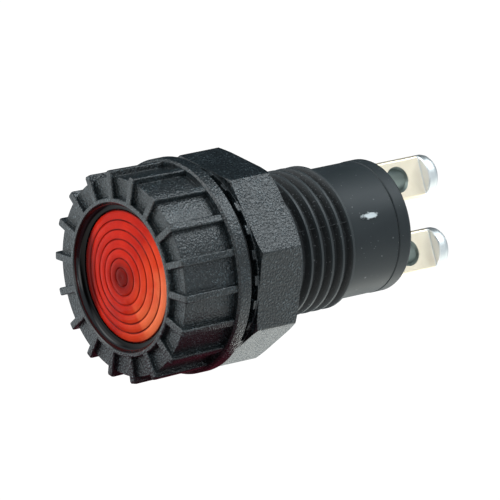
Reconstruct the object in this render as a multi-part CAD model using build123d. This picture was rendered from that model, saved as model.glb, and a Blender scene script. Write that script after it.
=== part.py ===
from build123d import *
import math
import os

# Panel-mounted warning lamp holder, millimetres.
# Axis of the lamp is Y: the lens faces -Y, the two terminal posts leave at +Y,
# and the posts stand one above the other along Z.
# Stations along the axis are written as distances from the bezel's front rim;
# the origin lies on the rear (panel seating) face of the housing flange.

SEAT = 12.4             # rim to flange seating face

# bezel
RIM_R = 11.27           # radius of the bezel mouth at the rim
RING_R = 12.0           # outer radius of the smooth front ring
LIP_R = 10.15           # lip that holds the lens
LIP_Y = 1.3
POCKET_R = 15.05        # floor of the side pockets
RIB_R = 16.04           # rib tips at the front
RIB_REAR_R = 15.85
BEZEL_R = 16.28         # rear ring of the bezel
BEZEL_L = 12.2
RIB_N = 18
RIB_W = 1.2
RIB_A0 = 6.83           # angle of the first rib, from +X towards +Z
BEZEL_BORE = 13.0

# housing
SPIGOT_R = 12.85        # front thread crest
SPIGOT_P = 1.5
FLANGE_R = 14.3
THREAD_R = 11.0         # panel thread crest: 22 mm
THREAD_ROOT = 10.1
THREAD_P = 2.0
THREAD_END = 36.1
BARREL_R = 10.05
BARREL_END = 45.35
BORE_R = 8.6

# gasket, washer, nut
GASKET_R = 14.2
GASKET_Y = 13.9
WASHER_Y = 14.7
WASHER_R = 14.85
TEETH = 24
NUT_R = 16.04           # octagon, across corners / 2
NUT_A0 = 2.76
NUT_Y1 = 22.5
NUT_BORE = 11.1

# rear plate and terminals
PLATE_R = 10.12
PLATE_END = 47.75
POST_ZU = 5.7           # upper post axis
POST_ZL = -5.5          # lower post axis
POST_R = 3.2
POST_END = 60.35
FLAT_X = 1.4            # milled flat, from the post axis
FLAT_END = 57.95
FLAT_FIL = 0.2          # cutter radius at the end of the flat
HOLE_Y = 53.2
HOLE_R = 1.75           # tapping size of the M4 cross hole
HOLE_MAJOR = 2.0
FLAT_A = 8.5            # the milled flats face this far above +X
NECK_R = 2.6            # narrower root of a post, inside the housing bore
TAIL_R = 0.9            # riveted tail inside the rear plate

os.makedirs("parts", exist_ok=True)


def cyl(r, y0, y1, x=0.0, z=0.0):
    return Pos(x, (y0 + y1) / 2 - SEAT, z) * Rot(-90, 0, 0) * Cylinder(r, y1 - y0)


def box(x0, x1, y0, y1, z0, z1):
    return Pos((x0 + x1) / 2, (y0 + y1) / 2 - SEAT, (z0 + z1) / 2) * Box(x1 - x0, y1 - y0, z1 - z0)


def rev(pts, arc=360, start=0.0):
    """Turn a closed (radius, station) outline about the lamp axis.
    start is measured from +X towards +Z."""
    face = make_face(Polyline(*[(r, y - SEAT) for r, y in pts], close=True))
    return Rot(0, -start, 0) * revolve(face, Axis.Y, -arc)


def rev_wire(edges):
    return revolve(make_face(edges), Axis.Y, 360)


def polar(shape, n, a0=0.0):
    return [Rot(0, -(a0 + 360.0 * k / n), 0) * shape for k in range(n)]


def groove(r_major, r_root, pitch, y0, y1, half_top, half_root):
    """Right-hand helical groove about Y, cutting from r_major to r_root."""
    height = y1 - y0
    path = Helix(pitch, height, r_major)
    t = path % 0
    pl = Plane(origin=path @ 0, x_dir=(1, 0, 0), z_dir=(t.X, t.Y, t.Z))
    over = 0.2
    slope = (half_top - half_root) / (r_major - r_root)
    prof = make_face(pl * Polyline(
        (over, -half_top - slope * over), (over, half_top + slope * over),
        (r_root - r_major, half_root), (r_root - r_major, -half_root), close=True))
    g = sweep(prof, path=path, is_frenet=True)
    return Pos(0, y0 - SEAT, 0) * Rot(-90, 0, 0) * g


def save(shape, name, n=1):
    solids = shape.solids()
    if len(solids) != n:
        print("WARNING", name, "has", len(solids), "solids")
    out = solids[0] if n == 1 else Compound(children=list(solids))
    export_step(out, "parts/" + name + ".step")
    print(name, round(sum(s.volume for s in solids), 2), "mm3", out.is_valid)


# ---------------------------------------------------------------- bezel
with BuildSketch(Plane.XY) as sk:
    with BuildLine():
        s = -SEAT
        Line((RIM_R + 0.12, 0 + s), (RING_R - 0.15, 0 + s))
        Line((RING_R - 0.15, 0 + s), (RING_R, 0.15 + s))
        Line((RING_R, 0.15 + s), (RING_R, 0.92 + s))
        Line((RING_R, 0.92 + s), (14.95, 0.76 + s))
        Line((14.95, 0.76 + s), (POCKET_R, 0.85 + s))
        Line((POCKET_R, 0.85 + s), (15.0, 9.8 + s))
        Line((15.0, 9.8 + s), (BEZEL_R - 0.3, 9.8 + s))
        Line((BEZEL_R - 0.3, 9.8 + s), (BEZEL_R, 10.1 + s))
        Line((BEZEL_R, 10.1 + s), (BEZEL_R, BEZEL_L - 0.25 + s))
        Line((BEZEL_R, BEZEL_L - 0.25 + s), (BEZEL_R - 0.25, BEZEL_L + s))
        Line((BEZEL_R - 0.25, BEZEL_L + s), (14.6, BEZEL_L + s))
        Line((14.6, BEZEL_L + s), (14.6, 10.2 + s))
        Line((14.6, 10.2 + s), (BEZEL_BORE + 0.4, 10.2 + s))
        Line((BEZEL_BORE + 0.4, 10.2 + s), (BEZEL_BORE, 9.8 + s))
        Line((BEZEL_BORE, 9.8 + s), (BEZEL_BORE, 2.35 + s))
        Line((BEZEL_BORE, 2.35 + s), (LIP_R, 2.35 + s))
        Line((LIP_R, 2.35 + s), (LIP_R, LIP_Y + s))
        ThreePointArc((LIP_R, LIP_Y + s), (10.82, 1.02 + s), (RIM_R - 0.08, 0.42 + s))
        Line((RIM_R - 0.08, 0.42 + s), (RIM_R, 0.14 + s))
        Line((RIM_R, 0.14 + s), (RIM_R + 0.12, 0 + s))
    make_face()
bezel = revolve(sk.sketch, Axis.Y, 360)

rib_face = make_face(Polyline(
    *[(r, y - SEAT) for r, y in [
        (11.75, 0.02), (15.72, 0.12), (15.98, 0.28), (RIB_R, 0.6),
        (RIB_REAR_R, 10.2), (14.3, 10.2), (14.3, 2.2), (11.75, 2.0)]], close=True))
rib = extrude(rib_face, amount=RIB_W / 2, both=True)
# draft and soft edges on the two long outer edges of a rib
long_edges = []
for e in rib.edges():
    c = e.center()
    if abs(abs(c.Z) - RIB_W / 2) < 1e-6 and e.length > 0.2:
        if (c.Y + SEAT < 0.35 and c.X > 12.2) or (c.X > 15.7 and c.Y + SEAT < 9):
            long_edges.append(e)
try:
    rib = fillet(long_edges, 0.24)
except Exception as err:
    print("rib fillet:", err)
    rib = chamfer(long_edges, 0.2)
bezel = bezel + polar(rib, RIB_N, RIB_A0)
save(bezel, "bezel")

# ---------------------------------------------------------------- lens
# clear red dome with stepped rings on the outside, plain inside, clamped by its flange
LENS_R = 9.95
LENS_EDGE = 1.25
LENS_TOP = 0.30
N_RING = 7


def dome(r):
    return LENS_TOP + (LENS_EDGE - LENS_TOP) * (r / LENS_R) ** 2


outer = []
for k in range(N_RING):
    r0 = LENS_R * k / N_RING
    r1 = LENS_R * (k + 1) / N_RING
    w = r1 - r0
    # each ring is a low ripple that rises from a sharp groove and falls to the next one
    prof = [(0.0, 0.15 if k else -0.02), (0.10, 0.05), (0.30, -0.01), (0.55, -0.02), (0.80, 0.03), (0.93, 0.09)]
    for f, d in prof:
        outer.append((r0 + w * f, dome(r0 + w * f) + (d if k or f > 0 else -0.02)))
outer.append((LENS_R, LENS_EDGE + 0.12))
clean = list(outer) + [(LENS_R, 2.4), (12.4, 2.4), (12.4, 3.8), (8.5, 3.8), (8.5, 2.75)]
for k in range(7, -1, -1):
    r = 8.5 * k / 8.0
    clean.append((r, 1.7 + 1.05 * (r / 8.5) ** 2))
lens = rev(clean)
save(lens, "lens")

lens_seal = rev([(10.5, 3.8), (12.4, 3.8), (12.4, 4.8), (10.5, 4.8)])
save(lens_seal, "lens_seal")

# ---------------------------------------------------------------- housing
housing = rev([
    (10.45, 4.8), (12.5, 4.8), (SPIGOT_R, 5.15), (SPIGOT_R, 9.9), (12.2, 9.9), (12.2, 10.4),
    (FLANGE_R, 10.4), (FLANGE_R, SEAT), (THREAD_R, SEAT), (THREAD_R, THREAD_END + 0.2), (THREAD_R - 0.5, THREAD_END + 0.6),
    (BARREL_R, THREAD_END + 0.6), (BARREL_R, BARREL_END - 0.12), (BARREL_R - 0.12, BARREL_END),
    (BORE_R, BARREL_END), (BORE_R, 31.0), (7.4, 31.0), (7.4, 29.5), (BORE_R, 29.5),
    (BORE_R, 14.4), (10.45, 11.5)])
housing = housing - groove(THREAD_R, THREAD_ROOT, THREAD_P, 14.0, 37.6, 0.82, 0.28)
housing = housing - groove(SPIGOT_R, 12.2, SPIGOT_P, 4.2, 9.3, 0.58, 0.2)
# start of the thread, round the axis: a groove crosses +X at station 14.77 + 2 k
housing = Rot(0, 221.4, 0) * housing
# moulding gate witness on the plain barrel, and the parting line over the thread crests
GATE_A = 13.5
PART_A = 12.2
nub = Rot(0, -GATE_A, 0) * (Pos(BARREL_R - 0.15, 40.45 - SEAT, 0) * Rot(0, 90, 0) * extrude(Ellipse(0.52, 1.75), amount=0.36, taper=18))
housing = housing + Rot(0, -PART_A, 0) * box(9.9, 10.72, 22.9, 35.6, -0.05, 0.05)
housing = housing + nub
save(housing, "housing")

# ---------------------------------------------------------------- gasket, washer, nut
panel_gasket = rev([(11.12, SEAT), (GASKET_R - 0.15, SEAT), (GASKET_R, SEAT + 0.15), (GASKET_R, GASKET_Y - 0.15),
                    (GASKET_R - 0.15, GASKET_Y), (11.12, GASKET_Y)])
save(panel_gasket, "panel_gasket")

lock_washer = rev([(11.15, 14.4), (WASHER_R, 14.4), (WASHER_R, WASHER_Y), (11.15, WASHER_Y)])
lock_washer = lock_washer + rev([(11.15, GASKET_Y), (12.1, GASKET_Y), (12.1, 14.5), (11.15, 14.5)])
tooth = box(11.9, WASHER_R - 0.05, GASKET_Y, 14.5, -0.7, 0.7)
lock_washer = lock_washer + polar(tooth, TEETH, 3.0)
save(lock_washer, "lock_washer")

oct_pts = [(NUT_R * math.cos(math.radians(NUT_A0 + 45 * k)), NUT_R * math.sin(math.radians(NUT_A0 + 45 * k)))
           for k in range(8)]
oct_face = make_face(Plane.XZ * Polyline(*oct_pts, close=True))     # local (x, y) -> world (x, z)
nut = extrude(oct_face, amount=-(NUT_Y1 - WASHER_Y))                # towards +Y
nut = Pos(0, WASHER_Y - SEAT, 0) * nut
corner_edges = [e for e in nut.edges() if abs(e.length - (NUT_Y1 - WASHER_Y)) < 1e-4]
nut = fillet(corner_edges, 0.35)
nut = nut & rev([(0, WASHER_Y), (15.55, WASHER_Y), (16.4, WASHER_Y + 0.45), (16.4, NUT_Y1 - 0.55),
                 (15.25, NUT_Y1), (0, NUT_Y1)])
nut = nut - rev([(0, 14), (NUT_BORE + 0.6, 14), (NUT_BORE + 0.6, WASHER_Y), (NUT_BORE, WASHER_Y + 0.6),
                 (NUT_BORE, NUT_Y1 - 0.6), (NUT_BORE + 0.6, NUT_Y1), (NUT_BORE + 0.6, 23), (0, 23)])
# half-round ejector mark on one facet, at the rear edge
FACET_A = NUT_A0 + 22.5
AF2 = NUT_R * math.cos(math.radians(22.5))
nut = nut - Rot(0, -FACET_A, 0) * (Pos(AF2 + 0.3, 22.25 - SEAT, 0.5) * Rot(0, 90, 0) * Cylinder(0.85, 0.86))
save(nut, "nut")

# ---------------------------------------------------------------- rear plate
rear_plate = rev([(0, BARREL_END), (0, 43.4), (8.5, 43.4), (8.5, BARREL_END), (PLATE_R - 0.15, BARREL_END),
                  (PLATE_R, BARREL_END + 0.15), (PLATE_R, PLATE_END - 0.4), (PLATE_R - 0.12, PLATE_END - 0.12), (PLATE_R - 0.4, PLATE_END), (0, PLATE_END)])
for sz in (POST_ZU, POST_ZL):
    rear_plate = rear_plate - cyl(POST_R + 0.02, BARREL_END, 48, z=sz) - cyl(NECK_R, 44.4, 46, z=sz) - cyl(TAIL_R, 43, 45, z=sz)
save(rear_plate, "rear_plate")


# ---------------------------------------------------------------- terminal posts
def post(z):
    p = cyl(NECK_R, 44.4, 46) + cyl(POST_R, BARREL_END + 0.02, POST_END - 1.3, z=0) + rev([
        (0, POST_END - 1.4), (POST_R, POST_END - 1.4), (POST_R, POST_END - 1.3), (POST_R - 0.14, POST_END - 0.82),
        (POST_R - 0.45, POST_END - 0.42), (POST_R - 0.95, POST_END - 0.13), (1.3, POST_END), (0, POST_END)])
    p = p + cyl(TAIL_R, 42.5, 44.5) + rev([(0, 42.3), (0.9, 42.3), (1.15, 42.5), (1.15, 42.9), (0, 42.9)])
    cutter = box(FLAT_X, 4, PLATE_END + 0.02, FLAT_END, -4, 4)
    cutter = fillet([e for e in cutter.edges() if abs(e.center().X - FLAT_X) < 1e-6 and abs(e.center().Y + SEAT - FLAT_END) < 1e-6], FLAT_FIL)
    p = p - cutter
    arc = [e for e in p.edges().filter_by(GeomType.CIRCLE) if abs(e.center().Y + SEAT - FLAT_END) < 0.01]
    try:
        p = chamfer(arc, 0.14)
    except Exception as err:
        print("flat end chamfer:", err)
    # tapped cross hole along X, countersunk on the flat
    hole = Pos(0, HOLE_Y - SEAT, 0) * Rot(0, 90, 0) * Cylinder(HOLE_R, 12)
    sink = Pos(FLAT_X - 0.35, HOLE_Y - SEAT, 0) * Rot(0, 90, 0) * Cone(HOLE_R - 0.2, HOLE_MAJOR + 0.08, 0.7001)
    p = p - hole - sink
    return Pos(0, 0, z) * Rot(0, -FLAT_A, 0) * p


def tap_groove(z):
    path = Helix(0.7, 5.6, HOLE_R)
    t = path % 0
    pl = Plane(origin=path @ 0, x_dir=(1, 0, 0), z_dir=(t.X, t.Y, t.Z))
    prof = make_face(pl * Polyline((-0.1, -0.2), (-0.1, 0.2), (0.25, 0.03), (0.25, -0.03), close=True))
    g = sweep(prof, path=path, is_frenet=True)
    return Pos(0, 0, z) * Rot(0, -FLAT_A, 0) * Pos(-3.4, HOLE_Y - SEAT, 0) * Rot(0, 90, 0) * g


for name, sz in (("terminal_post_upper", POST_ZU), ("terminal_post_lower", POST_ZL)):
    p = post(sz) - tap_groove(sz)
    save(p, name)

# ---------------------------------------------------------------- socket
INS_Y0, INS_Y1 = 31.9, 37.0
insulator = rev([(0, INS_Y0), (8.5, INS_Y0), (8.5, 43.35), (7.85, 43.35), (7.85, INS_Y1), (3.5, INS_Y1), (3.5, 41.2),
                 (0, 41.2)])
insulator = insulator + rev([(7.75, 31.0), (8.5, 31.0), (8.5, 32.2), (7.75, 32.2)])
insulator = insulator - cyl(5.12, 31.0, 34.8)              # seat of the socket shell
insulator = insulator - cyl(1.75, 34, 36) - cyl(2.55, 35.5, 42)
insulator = insulator - box(-1.85, 1.85, 31, 44, 6.75, 7.6)  # slot for the shell strip
save(insulator, "socket_insulator")

shell = rev([(4.7, 21.6), (4.95, 21.2), (5.5, 21.2), (5.1, 21.9), (5.1, 34.8), (4.7, 34.8)])
for a in (0, 180):
    shell = shell - rev([(4, 26.6), (6, 26.6), (6, 29.95), (4, 29.95)], arc=65, start=a - 12.5)
    shell = shell - rev([(4, 20), (6, 20), (6, 29.95), (4, 29.95)], arc=25, start=a + 27.5)
save(shell, "socket_shell")

# strip from the upper post to the shell
strip = box(-1.7, 1.7, 42.9, 43.4, 3.3, 7.4) + box(-1.7, 1.7, 31.4, 43.4, 6.9, 7.4) + box(-1.7, 1.7, 31.4, 31.85, 5.2, 7.4)
tab = rev([(5.1, 27.6), (5.6, 27.6), (5.6, 31.85), (5.1, 31.85)], arc=36, start=72)
strip = (strip - cyl(5.1, 20, 35)) + tab - cyl(TAIL_R, 42, 44, z=POST_ZU)
save(strip, "shell_contact_strip")

# strip from the lower post to the centre contact spring
cstrip = box(-1.9, 1.9, 42.9, 43.4, -7.5, 0) + cyl(2.4, 42.9, 43.4) - cyl(TAIL_R, 42, 44, z=POST_ZL)
save(cstrip, "center_contact_strip")

plunger = rev([(0, 34.0), (1.2, 34.0), (1.5, 34.3), (1.5, 36.2), (2.35, 36.2), (2.35, 37.0), (1.15, 37.0), (1.15, 39.6), (0.9, 39.85),
               (0, 39.85)])
save(plunger, "contact_plunger")

sp = Helix(0.95, 42.9 - 37.0 - 0.5, 1.72)
t = sp % 0
spl = Plane(origin=sp @ 0, x_dir=(1, 0, 0), z_dir=(t.X, t.Y, t.Z))
spring = sweep(make_face(spl * Circle(0.22).edge()), path=sp, is_frenet=True)
spring = Pos(0, 37.25 - SEAT, 0) * Rot(-90, 0, 0) * spring
save(spring, "contact_spring")

# ---------------------------------------------------------------- bulb
cap = rev([(4.25, 22.9), (4.6, 22.9), (4.6, 31.2), (3.95, 32.4), (2.2, 32.4), (2.2, 31.9), (3.7, 31.9), (4.25, 30.9)])
PIN_Y = 27.6
pins = []
for a in (0, 180):
    pin = Rot(0, -a, 0) * (Pos(4.85, PIN_Y - SEAT, 0) * Rot(0, 90, 0) * Cylinder(0.9, 1.2))
    pins.append(chamfer(pin.edges().filter_by(GeomType.CIRCLE).sort_by(lambda e: -(e.center().X ** 2))[0:1], 0.2))
    cap = cap - Rot(0, -a, 0) * (Pos(4.6, PIN_Y - SEAT, 0) * Rot(0, 90, 0) * Cylinder(0.9, 2.0))
save(cap, "bulb_cap")
save(Compound(children=pins), "bulb_pins", 2)

with BuildSketch(Plane.XY) as gs:
    with BuildLine():
        Line((0, 5.5 + s), (0, 6.0 + s))
        ThreePointArc((0, 6.0 + s), (3.9 * math.sin(math.radians(45)), 9.9 - 3.9 * math.cos(math.radians(45)) + s), (3.9, 9.9 + s))
        Line((3.9, 9.9 + s), (3.9, 21.6 + s))
        Line((3.9, 21.6 + s), (3.65, 22.8 + s))
        Line((3.65, 22.8 + s), (3.65, 26.2 + s))
        Line((3.65, 26.2 + s), (4.15, 26.2 + s))
        Line((4.15, 26.2 + s), (4.15, 22.85 + s))
        Line((4.15, 22.85 + s), (4.4, 21.8 + s))
        Line((4.4, 21.8 + s), (4.4, 9.9 + s))
        ThreePointArc((4.4, 9.9 + s), (4.4 * math.sin(math.radians(45)), 9.9 - 4.4 * math.cos(math.radians(45)) + s), (0, 5.5 + s))
    make_face()
save(revolve(gs.sketch, Axis.Y, 360), "bulb_glass")

WIRE_Z = 1.5
stem = rev([(0, 17.6), (1.5, 17.9), (2.0, 19.0), (2.2, 22.0), (3.2, 25.2), (3.62, 26.2), (0, 26.2)])
for z in (WIRE_Z, -WIRE_Z):
    stem = stem - cyl(0.2, 17, 27, z=z)
save(stem, "bulb_stem")
wires = [cyl(0.2, 11.4, 29.0, z=z) for z in (WIRE_Z, -WIRE_Z)]
fil_path = Helix(0.36, 2 * WIRE_Z - 0.5, 0.32)
t = fil_path % 0
fp = Plane(origin=fil_path @ 0, x_dir=(1, 0, 0), z_dir=(t.X, t.Y, t.Z))
fil = sweep(make_face(fp * Circle(0.07).edge()), path=fil_path, is_frenet=True)
fil = Pos(0, 11.9 - SEAT, -WIRE_Z + 0.25) * fil
save(Compound(children=wires), "bulb_support_wires", 2)
save(fil, "bulb_filament")
bins = rev([(0.9, 31.4), (2.2, 31.4), (2.2, 32.4), (3.6, 32.4), (2.3, 33.3), (0.9, 33.3)])
save(bins, "bulb_insulator")
bcon = rev([(0, 31.4), (0.9, 31.4), (0.9, 33.3), (1.6, 33.3), (1.5, 33.7), (1.0, 33.97), (0, 34.0)])
save(bcon, "bulb_contact")
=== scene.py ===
import bpy
import math
from mathutils import Vector, Matrix


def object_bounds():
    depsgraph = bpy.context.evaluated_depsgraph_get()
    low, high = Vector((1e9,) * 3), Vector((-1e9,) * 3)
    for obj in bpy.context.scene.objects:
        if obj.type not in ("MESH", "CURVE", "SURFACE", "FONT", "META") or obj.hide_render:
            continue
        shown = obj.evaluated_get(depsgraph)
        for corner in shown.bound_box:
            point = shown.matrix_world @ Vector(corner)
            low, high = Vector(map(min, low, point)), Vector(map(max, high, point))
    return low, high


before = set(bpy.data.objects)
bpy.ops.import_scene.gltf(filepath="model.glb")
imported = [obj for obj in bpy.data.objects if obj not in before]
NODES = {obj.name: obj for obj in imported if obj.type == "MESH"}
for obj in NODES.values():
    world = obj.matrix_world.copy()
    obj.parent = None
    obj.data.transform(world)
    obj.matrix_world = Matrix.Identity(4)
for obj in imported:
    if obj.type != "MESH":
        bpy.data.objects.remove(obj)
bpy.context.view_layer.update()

SEAT = 0.0124                       # bezel rim to the origin, along the lamp axis


# ------------------------------------------------------------------ node helpers
class Mat:
    """A small builder for one procedural material."""

    def __init__(self, name):
        self.m = bpy.data.materials.new(name)
        self.m.use_nodes = True
        self.t = self.m.node_tree
        self.t.nodes.clear()
        self.out = self.t.nodes.new("ShaderNodeOutputMaterial")
        self.b = self.t.nodes.new("ShaderNodeBsdfPrincipled")
        self.link(self.b.outputs[0], self.out.inputs[0])
        self.co = self.t.nodes.new("ShaderNodeTexCoord").outputs["Object"]

    def link(self, a, b):
        self.t.links.new(a, b)

    def put(self, v, sock):
        if hasattr(v, "node"):
            self.link(v, sock)
        else:
            sock.default_value = v

    def math(self, op, a, b=0.0, c=None, clamp=False):
        n = self.t.nodes.new("ShaderNodeMath")
        n.operation = op
        n.use_clamp = clamp
        self.put(a, n.inputs[0])
        self.put(b, n.inputs[1])
        if c is not None:
            self.put(c, n.inputs[2])
        return n.outputs[0]

    def vmul(self, v, s):
        n = self.t.nodes.new("ShaderNodeVectorMath")
        n.operation = "MULTIPLY"
        self.put(v, n.inputs[0])
        n.inputs[1].default_value = s
        return n.outputs[0]

    def noise(self, scale, detail=2.0, rough=0.5, dist=0.0, vec=None):
        n = self.t.nodes.new("ShaderNodeTexNoise")
        self.link(vec if vec is not None else self.co, n.inputs["Vector"])
        n.inputs["Scale"].default_value = scale
        n.inputs["Detail"].default_value = detail
        n.inputs["Roughness"].default_value = rough
        n.inputs["Distortion"].default_value = dist
        return n.outputs["Fac"]

    def voronoi(self, scale, feature="F1", vec=None, smooth=None):
        n = self.t.nodes.new("ShaderNodeTexVoronoi")
        n.feature = feature
        self.link(vec if vec is not None else self.co, n.inputs["Vector"])
        n.inputs["Scale"].default_value = scale
        return n.outputs["Distance"]

    def ramp(self, fac, stops, interp="LINEAR"):
        n = self.t.nodes.new("ShaderNodeValToRGB")
        n.color_ramp.interpolation = interp
        el = n.color_ramp.elements
        while len(el) > 1:
            el.remove(el[-1])
        el[0].position, el[0].color = stops[0][0], col(stops[0][1])
        for p, c in stops[1:]:
            e = el.new(p)
            e.color = col(c)
        self.put(fac, n.inputs[0])
        return n.outputs[0]

    def step(self, v, lo, hi):
        """0 below lo, 1 above hi, smooth between."""
        n = self.t.nodes.new("ShaderNodeMapRange")
        n.interpolation_type = "SMOOTHSTEP"
        self.put(v, n.inputs["Value"])
        n.inputs["From Min"].default_value = lo
        n.inputs["From Max"].default_value = hi
        return n.outputs["Result"]

    def mix(self, fac, a, b):
        n = self.t.nodes.new("ShaderNodeMix")
        n.data_type = "RGBA"
        self.put(fac, n.inputs[0])
        for v, s in ((a, n.inputs[6]), (b, n.inputs[7])):
            if hasattr(v, "node"):
                self.link(v, s)
            else:
                s.default_value = col(v)
        return n.outputs[2]

    def lerp(self, fac, a, b):
        n = self.t.nodes.new("ShaderNodeMix")
        n.data_type = "FLOAT"
        self.put(fac, n.inputs[0])
        self.put(a, n.inputs[2])
        self.put(b, n.inputs[3])
        return n.outputs[0]

    def xyz(self):
        n = self.t.nodes.new("ShaderNodeSeparateXYZ")
        self.link(self.co, n.inputs[0])
        return n.outputs[0], n.outputs[1], n.outputs[2]

    def radius(self):
        x, y, z = self.xyz()
        return self.math("SQRT", self.math("ADD", self.math("MULTIPLY", x, x), self.math("MULTIPLY", z, z)))

    def bump(self, height, strength, distance, normal=None):
        n = self.t.nodes.new("ShaderNodeBump")
        self.put(strength, n.inputs["Strength"])
        n.inputs["Distance"].default_value = distance
        self.link(height, n.inputs["Height"])
        if normal is not None:
            self.link(normal, n.inputs["Normal"])
        return n.outputs[0]

    def bevel(self, radius, samples=4):
        n = self.t.nodes.new("ShaderNodeBevel")
        n.samples = samples
        n.inputs["Radius"].default_value = radius
        return n.outputs[0]

    def set(self, **kw):
        names = {"color": "Base Color", "rough": "Roughness", "metal": "Metallic", "ior": "IOR",
                 "spec": "Specular IOR Level", "coat": "Coat Weight", "coat_rough": "Coat Roughness",
                 "trans": "Transmission Weight", "alpha": "Alpha", "sss": "Subsurface Weight",
                 "normal": "Normal", "aniso": "Anisotropic"}
        for k, v in kw.items():
            s = self.b.inputs[names[k]]
            if hasattr(v, "node"):
                self.link(v, s)
            elif k == "color":
                s.default_value = col(v)
            else:
                s.default_value = v
        return self


def col(c):
    if isinstance(c, (int, float)):
        return (c, c, c, 1.0)
    return tuple(c) if len(c) == 4 else (*c, 1.0)


def srgb(h):
    v = [int(h[i:i + 2], 16) / 255 for i in (1, 3, 5)]
    return tuple(x / 12.92 if x <= 0.04045 else ((x + 0.055) / 1.055) ** 2.4 for x in v)


# ------------------------------------------------------------------ materials
def grained_nylon(name, glossy_mouth=False):
    """Spark-eroded grain: pebbles of about 0.3 mm that catch the light one by one, cool black."""
    m = Mat(name)
    fine = m.noise(3300, 2, 0.55)
    cell = m.voronoi(2700)
    broad = m.noise(300, 2, 0.5)
    grain = m.math("ADD", m.math("MULTIPLY", fine, 0.85), m.math("MULTIPLY", cell, -0.5))
    shade = m.math("ADD", m.math("MULTIPLY", grain, 0.9), m.math("MULTIPLY", broad, 0.35))
    color = m.ramp(shade, [(0.12, (0.0030, 0.0046, 0.0054)), (0.36, (0.0062, 0.0094, 0.0108)), (0.50, (0.019, 0.026, 0.029)), (0.66, (0.085, 0.108, 0.116))])
    rough = m.lerp(m.step(grain, 0.1, 0.5), 0.31, 0.17)
    strength = 1.0
    spec = 0.5
    if glossy_mouth:
        r = m.radius()
        x, y, z = m.xyz()
        inside = m.math("MULTIPLY", m.math("SUBTRACT", 1.0, m.step(r, 0.01138, 0.01146)),
                        m.math("SUBTRACT", 1.0, m.step(y, -0.0100, -0.0098)))
        color = m.mix(inside, color, (0.0035, 0.0035, 0.004))
        rough = m.lerp(inside, rough, 0.13)
        strength = m.lerp(inside, 1.0, 0.0)
        # the flare next to the lens lies in its own shadow
        flare = m.math("MULTIPLY", inside, m.math("SUBTRACT", 1.0, m.step(r, 0.01080, 0.01105)))
        color = m.mix(flare, color, (0.0012, 0.0010, 0.0010))
        spec = m.lerp(flare, 0.5, 0.08)
    n = m.bump(grain, strength, 0.00012, m.bevel(0.00014))
    m.set(color=color, rough=rough, normal=n, spec=spec)
    return m.m


def satin_nylon(name):
    """Smooth moulded barrel and thread: satin, faint flow marks, a few dust specks, painted shade in the thread's
    valleys with a painted highlight on its crests, and a gate witness whose glint is painted on as a pale spot.
    """
    m = Mat(name)
    x, y, z = m.xyz()
    flow = m.noise(90, 3, 0.55, 0.6, m.vmul(m.co, (1.0, 0.35, 1.0)))
    fine = m.noise(3600, 3, 0.6)
    r = m.radius()
    on_thread = m.math("MULTIPLY", m.step(y, 0.0124 - SEAT, 0.0134 - SEAT), m.math("SUBTRACT", 1.0, m.step(y, 0.0365 - SEAT, 0.0367 - SEAT)))
    color = m.ramp(flow, [(0.3, (0.0075, 0.0110, 0.0130)), (0.7, (0.0140, 0.0195, 0.0215))])
    # painted shade darkens the thread's flanks and valleys
    depth = m.math("SUBTRACT", 1.0, m.step(r, 0.01055, 0.01096))
    color = m.mix(m.math("MULTIPLY", on_thread, m.math("MULTIPLY", depth, 0.85)), color, (0.0020, 0.0024, 0.0027))
    # painted highlight: a paler band along the thread's crests
    crest_highlight = m.math("MULTIPLY", on_thread, m.step(r, 0.01092, 0.01099))
    color = m.mix(m.math("MULTIPLY", crest_highlight, 0.32), color, (0.055, 0.062, 0.064))
    speck = m.step(m.noise(2100, 1.0, 0.4), 0.735, 0.765)
    color = m.mix(m.math("MULTIPLY", speck, 0.5), color, (0.16, 0.165, 0.17))
    # fine dust caught in the thread, most of it on the upper half
    dust = m.math("MULTIPLY", m.step(m.noise(4300, 1.0, 0.4), 0.655, 0.70), m.math("MULTIPLY", on_thread, depth))
    dust = m.math("MULTIPLY", dust, m.lerp(m.step(z, -0.002, 0.005), 0.12, 0.55))
    color = m.mix(dust, color, (0.13, 0.145, 0.15))
    # gate witness: a small bump on the plain barrel, its glint painted on as a pale spot (painted highlight)
    a = math.radians(13.5)
    gx, gy, gz = 0.01018 * math.cos(a), 0.04045 - SEAT, 0.01018 * math.sin(a)
    d = m.math("SQRT", m.math("ADD", m.math("ADD",
        m.math("POWER", m.math("MULTIPLY", m.math("SUBTRACT", y, gy), 1 / 0.00175), 2.0),
        m.math("POWER", m.math("MULTIPLY", m.math("SUBTRACT", z, gz), 1 / 0.00058), 2.0)),
        m.math("POWER", m.math("MULTIPLY", m.math("SUBTRACT", x, gx), 1 / 0.0009), 2.0)))
    torn = m.math("ADD", d, m.math("MULTIPLY", m.math("SUBTRACT", m.noise(1500, 3, 0.7), 0.5), 1.5))
    witness = m.math("SUBTRACT", 1.0, m.step(torn, 0.55, 0.95))
    color = m.mix(m.math("MULTIPLY", witness, 0.9), color, (0.62, 0.66, 0.66))
    rough = m.lerp(m.step(flow, 0.3, 0.75), 0.46, 0.58)
    rough = m.lerp(m.math("MULTIPLY", on_thread, depth), rough, 0.62)
    h = m.math("ADD", m.math("MULTIPLY", fine, 0.25), m.math("ADD", m.math("MULTIPLY", flow, 0.6), m.math("MULTIPLY", witness, 0.4)))
    m.set(color=color, rough=rough, normal=m.bump(h, 0.22, 0.00006, m.bevel(0.00009)), spec=0.36)
    return m.m


def rubber(name):
    m = Mat(name)
    f = m.noise(2600, 3, 0.6)
    m.set(color=m.ramp(f, [(0.3, 0.006), (0.8, (0.016, 0.016, 0.017))]), rough=m.lerp(f, 0.72, 0.9),
          normal=m.bump(f, 0.4, 0.00005), spec=0.35)
    return m.m


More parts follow.
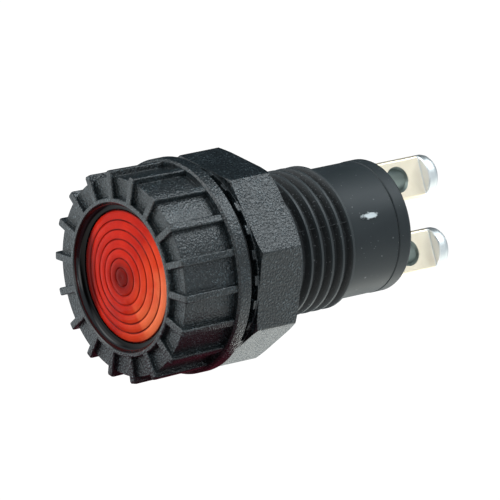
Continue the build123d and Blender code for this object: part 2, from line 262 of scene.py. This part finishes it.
def red_lens(name):
    """Clear red dome: painted shade as a dark line in every ring groove, a darker hub, and painted light making it
    paler and more orange towards the side the light enters.
    """
    m = Mat(name)
    r = m.radius()
    x, y, z = m.xyz()
    body = m.noise(260, 2, 0.5, 0.3)
    color = m.ramp(body, [(0.25, (0.36, 0.009, 0.004)), (0.75, (0.52, 0.019, 0.007))])
    # painted light: paler and orange towards +X and below, on the side where light comes through
    side = m.math("ADD", m.math("MULTIPLY", x, 0.80), m.math("MULTIPLY", z, -0.60))
    wob = m.math("MULTIPLY", m.math("SUBTRACT", m.noise(330, 2, 0.5, 0.5), 0.5), 0.0045)
    side = m.math("ADD", side, wob)
    color = m.mix(m.math("MULTIPLY", m.step(side, 0.0012, 0.0048), 0.35), color, (0.90, 0.10, 0.030))
    color = m.mix(m.math("MULTIPLY", m.step(side, 0.0052, 0.0096), 0.82), color, (0.86, 0.20, 0.080))
    # a brighter wedge below the hub, where the light from behind comes through
    wedge = m.step(m.math("ADD", m.math("MULTIPLY", x, 0.97), m.math("MULTIPLY", z, 0.26)), 0.0000, 0.0007)
    wedge = m.math("MULTIPLY", wedge, m.step(m.math("MULTIPLY", z, -1.0), 0.0036, 0.0056))
    color = m.mix(m.math("MULTIPLY", wedge, 0.42), color, (0.86, 0.18, 0.065))
    # darker hub, and painted shade as a dark line in each ring groove
    hub = m.math("SUBTRACT", 1.0, m.step(r, 0.0006, 0.0040))
    color = m.mix(m.math("MULTIPLY", hub, 0.90), color, (0.095, 0.002, 0.001))
    turn = m.math("FRACT", m.math("MULTIPLY", r, 7.0 / 0.00995))
    edge = m.math("MINIMUM", turn, m.math("SUBTRACT", 1.0, turn))
    line = m.math("SUBTRACT", 1.0, m.step(edge, 0.04, 0.13))
    fade = m.step(m.noise(180, 2, 0.6), 0.32, 0.62)
    color = m.mix(m.math("MULTIPLY", line, m.lerp(fade, 0.55, 0.96)), color, (0.10, 0.003, 0.002))
    # the edge away from the light falls into shadow
    away = m.math("ADD", m.math("MULTIPLY", x, -0.93), m.math("MULTIPLY", z, 0.10))
    color = m.mix(m.math("MULTIPLY", m.step(away, 0.0060, 0.0076), 0.85), color, (0.045, 0.003, 0.003))
    color = m.mix(m.step(away, 0.0080, 0.0098), color, (0.012, 0.002, 0.002))
    rough = m.lerp(m.noise(900, 2, 0.5), 0.10, 0.20)
    ripple = m.noise(330, 2, 0.5)
    m.set(color=color, rough=rough, trans=0.06, ior=1.5, spec=0.02, normal=m.bump(ripple, 0.10, 0.0002))
    return m.m


def plated(name):
    """Nickel plate: warm, finely milled flat; bright turned round and tip."""
    m = Mat(name)
    x, y, z = m.xyz()
    turn = m.noise(1.0, 2, 0.6, 0.0, m.vmul(m.co, (250, 9000, 250)))
    mill = m.noise(1.0, 2, 0.6, 0.0, m.vmul(m.co, (300, 700, 7000)))
    tip = m.step(y, 0.05778 - SEAT, 0.05790 - SEAT)
    lines = m.lerp(tip, mill, turn)
    smudge = m.noise(330, 3, 0.6)
    silver = m.ramp(smudge, [(0.3, (0.70, 0.72, 0.71)), (0.7, (0.80, 0.82, 0.81))])
    cream = m.ramp(smudge, [(0.3, (0.88, 0.76, 0.59)), (0.7, (0.93, 0.83, 0.66))])
    # the inside of the tapped hole is painted darker
    a = math.radians(8.5)
    side = m.math("SIGN", z)
    bore_z = m.math("SUBTRACT", m.math("ABSOLUTE", z), m.math("MULTIPLY_ADD", side, 0.0001, 0.0056))
    zz = m.math("MULTIPLY", bore_z, side)
    across = m.math("SUBTRACT", m.math("MULTIPLY", zz, math.cos(a)), m.math("MULTIPLY", x, math.sin(a)))
    along = m.math("SUBTRACT", y, 0.0532 - SEAT)
    from_hole = m.math("SQRT", m.math("ADD", m.math("MULTIPLY", across, across), m.math("MULTIPLY", along, along)))
    inside = m.math("MULTIPLY", m.math("SUBTRACT", 1.0, m.step(from_hole, 0.00206, 0.00213)),
                    m.math("SUBTRACT", 1.0, m.step(m.math("ADD", m.math("MULTIPLY", x, math.cos(a)), m.math("MULTIPLY", zz, math.sin(a))), 0.00130, 0.00138)))
    tone = m.mix(tip, cream, silver)
    # painted highlight: the small shoulder at the end of the flat is painted bright
    shoulder_highlight = m.math("MULTIPLY", m.step(y, 0.05788 - SEAT, 0.05792 - SEAT), m.math("SUBTRACT", 1.0, m.step(y, 0.05797 - SEAT, 0.05803 - SEAT)))
    tone = m.mix(shoulder_highlight, tone, (0.86, 0.90, 0.95))
    tone = m.mix(inside, tone, (0.24, 0.28, 0.255))
    m.set(color=tone, metal=1.0, rough=m.lerp(tip, m.lerp(lines, 0.42, 0.54), m.lerp(lines, 0.36, 0.46)),
          normal=m.bump(lines, 0.10, 0.00003, m.bevel(0.00010)))
    return m.m


def metal(name, lo, hi, r0=0.2, r1=0.4, scale=700.0, bump=0.12):
    m = Mat(name)
    f = m.noise(scale, 4, 0.6)
    s = m.noise(1.0, 2, 0.5, 0.0, m.vmul(m.co, (900, 5200, 900)))
    m.set(color=m.ramp(f, [(0.3, lo), (0.75, hi)]), metal=1.0, rough=m.lerp(s, r0, r1), normal=m.bump(s, bump, 0.00003))
    return m.m


def plastic(name, lo, hi, r0=0.35, r1=0.5, scale=1500.0):
    m = Mat(name)
    f = m.noise(scale, 3, 0.6)
    b = m.noise(160, 2, 0.5)
    m.set(color=m.ramp(b, [(0.3, lo), (0.75, hi)]), rough=m.lerp(f, r0, r1), normal=m.bump(f, 0.15, 0.00004), spec=0.5)
    return m.m


def clear_glass(name):
    m = Mat(name)
    f = m.noise(120, 2, 0.5)
    m.set(color=m.ramp(f, [(0.3, (0.93, 0.96, 0.96)), (0.8, (0.99, 1.0, 1.0))]), rough=m.lerp(f, 0.0, 0.03), trans=1.0,
          ior=1.47, normal=m.bump(f, 0.05, 0.0002))
    return m.m


nylon = grained_nylon("black_grained_nylon")
bezel_nylon = grained_nylon("black_bezel_nylon", glossy_mouth=True)
satin = satin_nylon("black_satin_nylon")
black_rubber = rubber("black_rubber")
post_plate = plated("nickel_plate")
brass = metal("pressed_brass", (0.60, 0.40, 0.13), (0.80, 0.60, 0.27))
steel = metal("spring_wire", (0.42, 0.42, 0.42), (0.62, 0.62, 0.61), 0.22, 0.38)
capplate = metal("cap_plate", (0.62, 0.60, 0.55), (0.80, 0.79, 0.75), 0.15, 0.35)
lead = metal("lead_wire", (0.40, 0.30, 0.24), (0.55, 0.45, 0.38), 0.3, 0.5)
tungsten = metal("tungsten_wire", (0.25, 0.25, 0.27), (0.40, 0.40, 0.42), 0.35, 0.55)
solder = metal("solder", (0.45, 0.45, 0.46), (0.66, 0.66, 0.66), 0.3, 0.6, 1800, 0.3)
natural = plastic("natural_nylon", (0.58, 0.53, 0.40), (0.72, 0.68, 0.55))
blackglass = plastic("black_glass", (0.006, 0.006, 0.008), (0.02, 0.02, 0.024), 0.05, 0.2)
glass = clear_glass("bulb_glass_clear")
lens_red = red_lens("lens_clear_red")

USE = {
    "bezel": bezel_nylon, "lock_washer": nylon, "nut": nylon, "housing": satin, "rear_plate": satin,
    "lens": lens_red, "lens_seal": black_rubber, "panel_gasket": black_rubber,
    "terminal_post_upper": post_plate, "terminal_post_lower": post_plate,
    "socket_insulator": natural, "socket_shell": brass, "shell_contact_strip": brass, "center_contact_strip": brass,
    "contact_plunger": brass, "contact_spring": steel, "bulb_cap": capplate, "bulb_pins": brass, "bulb_glass": glass,
    "bulb_stem": glass, "bulb_support_wires": lead, "bulb_filament": tungsten, "bulb_insulator": blackglass,
    "bulb_contact": solder,
}
for name, mat in USE.items():
    o = NODES[name]
    if not o.data.materials:
        o.data.materials.append(mat)
    for sl in o.material_slots:
        sl.material = mat

# ------------------------------------------------------------------ stage
lo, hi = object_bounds()
floor_z = lo[2] - 0.00002
me = bpy.data.meshes.new("floor")
S = 30.0
me.from_pydata([(-S, -S, floor_z), (S, -S, floor_z), (S, S, floor_z), (-S, S, floor_z)], [], [(0, 1, 2, 3)])
floor = bpy.data.objects.new("floor", me)
bpy.context.scene.collection.objects.link(floor)
fm = bpy.data.materials.new("floor_white")
fm.use_nodes = True
ft = fm.node_tree
ft.nodes.clear()
fo = ft.nodes.new("ShaderNodeOutputMaterial")
emi = ft.nodes.new("ShaderNodeEmission")
emi.inputs[0].default_value = (1, 1, 1, 1)
emi.inputs[1].default_value = 1.05
ft.links.new(emi.outputs[0], fo.inputs[0])
me.materials.append(fm)
floor.visible_diffuse = False
floor.visible_glossy = False
floor.visible_transmission = False
floor.visible_shadow = False

# painted shade: a dark red, faintly glowing card on the floor under the bezel, where the floor lies in shadow, seen
# only in its gloss
cm = bpy.data.meshes.new("card")
cm.from_pydata([(-0.030, -0.034, floor_z + 0.00001), (0.0185, -0.034, floor_z + 0.00001), (0.0185, 0.0030, floor_z + 0.00001),
                (-0.030, 0.0030, floor_z + 0.00001)], [], [(0, 1, 2, 3)])
card = bpy.data.objects.new("card", cm)
bpy.context.scene.collection.objects.link(card)
cmat = bpy.data.materials.new("painted_shadow_card")
cmat.use_nodes = True
cp = cmat.node_tree.nodes["Principled BSDF"]
cp.inputs["Base Color"].default_value = (0.02, 0.004, 0.006, 1)
cp.inputs["Emission Color"].default_value = (0.16, 0.025, 0.045, 1)
cp.inputs["Emission Strength"].default_value = 1.0
cm.materials.append(cmat)
card.visible_camera = False

world = bpy.data.worlds.new("studio")
bpy.context.scene.world = world
world.use_nodes = True
wt = world.node_tree
bg = wt.nodes["Background"]
wdir = wt.nodes.new("ShaderNodeTexCoord").outputs["Generated"]


def lobe(direction, inner, outer):
    """1 within the inner angle of a direction, 0 beyond the outer one (degrees)."""
    d = Vector(direction).normalized()
    n = wt.nodes.new("ShaderNodeVectorMath")
    n.operation = "DOT_PRODUCT"
    wt.links.new(wdir, n.inputs[0])
    n.inputs[1].default_value = d
    r = wt.nodes.new("ShaderNodeMapRange")
    r.interpolation_type = "SMOOTHSTEP"
    wt.links.new(n.outputs["Value"], r.inputs["Value"])
    r.inputs["From Min"].default_value = math.cos(math.radians(outer))
    r.inputs["From Max"].default_value = math.cos(math.radians(inner))
    return r.outputs["Result"]


def wmix(fac, a, b):
    n = wt.nodes.new("ShaderNodeMix")
    n.data_type = "RGBA"
    wt.links.new(fac, n.inputs[0])
    for v, sk in ((a, n.inputs[6]), (b, n.inputs[7])):
        if hasattr(v, "node"):
            wt.links.new(v, sk)
        else:
            sk.default_value = col(v)
    return n.outputs[2]


sky = wmix(lobe((-0.80, -0.60, -0.05), 15, 50), (0.50, 0.58, 0.64), (1.50, 1.62, 1.68))   # front left, over the base level
sky = wmix(lobe((0.30, -0.95, -0.05), 18, 32), sky, (0.05, 0.055, 0.06))                   # dark in front
sky = wmix(lobe((-0.15, -0.72, 0.68), 14, 32), sky, (4.6, 4.8, 4.9))                      # soft light, front above
sky = wmix(lobe((-0.10, -0.75, -0.65), 14, 40), sky, (2.2, 2.2, 2.1))                     # pale table, front
sky = wmix(lobe((0.05, 0.60, -0.80), 20, 50), sky, (1.42, 1.50, 1.48))                    # pale table, behind
sky = wmix(lobe((-0.42, 0.60, -0.68), 6, 20), sky, (2.9, 3.0, 2.85))                      # bright patch of table, behind left
sky = wmix(lobe((0.79, 0.60, 0.10), 8, 24), sky, (0.53, 0.57, 0.59))                      # right and back
sky = wmix(lobe((-0.68, 0.60, 0.42), 30, 48), sky, (0.03, 0.04, 0.05))                    # dark, left and back
sky = wmix(lobe((0.43, 0.60, 0.67), 7, 21), sky, (6.7, 7.3, 7.6))                         # main light, above and behind
sky = wmix(lobe((0.99, 0.10, 0.02), 5, 13), sky, (5.5, 5.8, 6.0))                         # edge light, right
sky = wmix(lobe((0.80, -0.60, -0.10), 7, 20), sky, (2.0, 2.05, 2.05))                      # pale wall, front right
wt.links.new(sky, bg.inputs[0])
bg.inputs[1].default_value = 1.0

# ------------------------------------------------------------------ camera
az, el, roll = math.radians(53.124), math.radians(4.923), math.radians(-8.357)
dist = 1.18947
back = Vector((math.sin(az) * math.cos(el), -math.cos(az) * math.cos(el), math.sin(el)))
right = (-back).cross(Vector((0, 0, 1))).normalized()
up = right.cross(-back)
r2 = right * math.cos(roll) + up * math.sin(roll)
u2 = -right * math.sin(roll) + up * math.cos(roll)
target = Vector((0, 0.018 - SEAT, 0)) + right * 0.005305 + up * 0.00035
cam_data = bpy.data.cameras.new("camera")
cam_data.sensor_width = 36.0
cam_data.lens = 7974.94 * 36.0 / 500.0
cam_data.clip_start = 0.05
cam_data.clip_end = 200.0
cam = bpy.data.objects.new("camera", cam_data)
bpy.context.scene.collection.objects.link(cam)
rot = Matrix((r2, u2, back)).transposed()
cam.matrix_world = Matrix.Translation(target + back * dist) @ rot.to_4x4()
bpy.context.scene.camera = cam
bpy.context.scene.view_settings.view_transform = "Standard"
